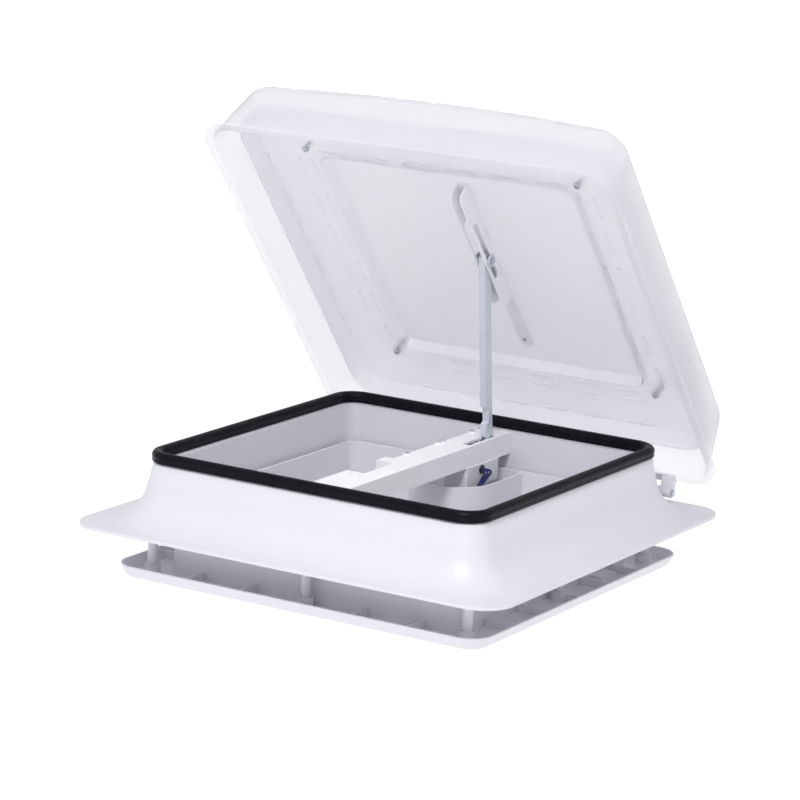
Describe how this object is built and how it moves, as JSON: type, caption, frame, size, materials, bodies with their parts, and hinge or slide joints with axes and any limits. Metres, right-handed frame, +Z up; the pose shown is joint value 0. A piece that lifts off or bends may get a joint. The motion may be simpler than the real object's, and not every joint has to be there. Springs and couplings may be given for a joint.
{
  "type": "caravan roof vent",
  "caption": "Square caravan roof vent with a double-skin hinged lid, a motor-driven slotted-rail lift arm, a rubber-sealed curb and an interior trim with fly screen.",
  "frame": {"origin": "middle of the roof opening on the underside of the roof flange", "axes": "+Z up out of the roof, +Y from the lid's free edge to its hinge, X along the hinge"},
  "size_m": [0.46, 0.5052, 0.4489],
  "materials": {
    "white_plastic": "glossy white with a faint cool shade",
    "seal_rubber": "smooth black rubber",
    "zinc_steel": "zinc-plated steel",
    "arm_steel": "pressed zinc-plated steel",
    "lid_plastic": "translucent milky plastic",
    "trim_plastic": "satin white",
    "beam_plastic": "satin white",
    "gearbox_plastic": "light grey",
    "black_plastic": "black",
    "brass": "cut brass",
    "nylon": "natural nylon",
    "lead_blue": "dark blue insulation",
    "screen": "woven fly mesh"
  },
  "bodies": {
    "base": {"base_frame": "white_plastic", "curb_seal": "seal_rubber", "hinge_rod": "zinc_steel", "interior_trim": "trim_plastic", "trim_collar": "trim_plastic", "trim_tub": "trim_plastic", "fixing_screws": "zinc_steel", "screen_frame": "trim_plastic", "screen_mesh": "screen", "clip_screws": "zinc_steel", "switch_body": "black_plastic", "operator_beam": "beam_plastic", "beam_screws": "zinc_steel", "gearbox_body": "gearbox_plastic", "gearbox_cover": "gearbox_plastic", "gearbox_screws": "zinc_steel", "motor": "zinc_steel", "worm_bushes": "brass", "arm_pin": "zinc_steel", "motor_grommet": "black_plastic", "motor_leads": "lead_blue", "switch_lead": "lead_blue", "lead_clip": "nylon", "terminal_block": "nylon", "terminal_screws": "zinc_steel"},
    "drive_worm": {"worm": "brass", "worm_shaft": "zinc_steel"},
    "arm": {"lift_arm": "arm_steel", "arm_sector": "nylon"},
    "roller": {"roller_axle": "zinc_steel", "roller_left": "arm_steel", "roller_right": "arm_steel"},
    "lid": {"lid_dome": "lid_plastic", "lid_panel": "lid_plastic", "lid_screws": "zinc_steel", "guide_rail": "beam_plastic", "rail_screws": "zinc_steel", "hinge_leaf": "trim_plastic", "leaf_rivets": "zinc_steel"},
    "rocker": {"switch_rocker": "black_plastic"},
    "clip_1": {"screen_clip_1": "trim_plastic"},
    "clip_2": {"screen_clip_2": "trim_plastic"},
    "clip_3": {"screen_clip_3": "trim_plastic"},
    "clip_4": {"screen_clip_4": "trim_plastic"}
  },
  "joints": [
    {"name": "lid_hinge", "type": "hinge", "parent": "base", "child": "lid", "pos_m": [0, 0.2227, 0.0123], "axis": [-1, 0, 0], "range_deg": [-50.38, 8.02]},
    {"name": "arm_pivot", "type": "hinge", "parent": "base", "child": "arm", "pos_m": [0.012, 0.117, 0.05], "axis": [-1, 0, 0], "range_deg": [-82.3, 13.3]},
    {"name": "worm_spin", "type": "hinge", "parent": "base", "child": "drive_worm", "pos_m": [0.012, 0.117, 0.02875], "axis": [0, 1, 0], "range_deg": [-2140, 345]},
    {"name": "roller_spin", "type": "hinge", "parent": "arm", "child": "roller", "pos_m": [0.012, 0.10892, 0.23892], "axis": [1, 0, 0], "continuous": true},
    {"name": "switch_tilt", "type": "hinge", "parent": "base", "child": "rocker", "pos_m": [-0.004, 0.088, -0.0378], "axis": [0, 1, 0], "range_deg": [-8, 8], "stiffness_Nm_per_rad": 0.08},
    {"name": "clip_1_turn", "type": "hinge", "parent": "base", "child": "clip_1", "pos_m": [0.1655, 0.09, -0.0476], "axis": [0, 0, -1], "range_deg": [0, 90]},
    {"name": "clip_2_turn", "type": "hinge", "parent": "base", "child": "clip_2", "pos_m": [-0.09, 0.1655, -0.0476], "axis": [0, 0, -1], "range_deg": [0, 90]},
    {"name": "clip_3_turn", "type": "hinge", "parent": "base", "child": "clip_3", "pos_m": [-0.1655, -0.09, -0.0476], "axis": [0, 0, -1], "range_deg": [0, 90]},
    {"name": "clip_4_turn", "type": "hinge", "parent": "base", "child": "clip_4", "pos_m": [0.09, -0.1655, -0.0476], "axis": [0, 0, -1], "range_deg": [0, 90]}
  ],
  "couplings": [
    {"joint": "arm_pivot", "follows": "lid_hinge", "ratio": 1.63},
    {"joint": "worm_spin", "follows": "lid_hinge", "ratio": 42.38}
  ]
}
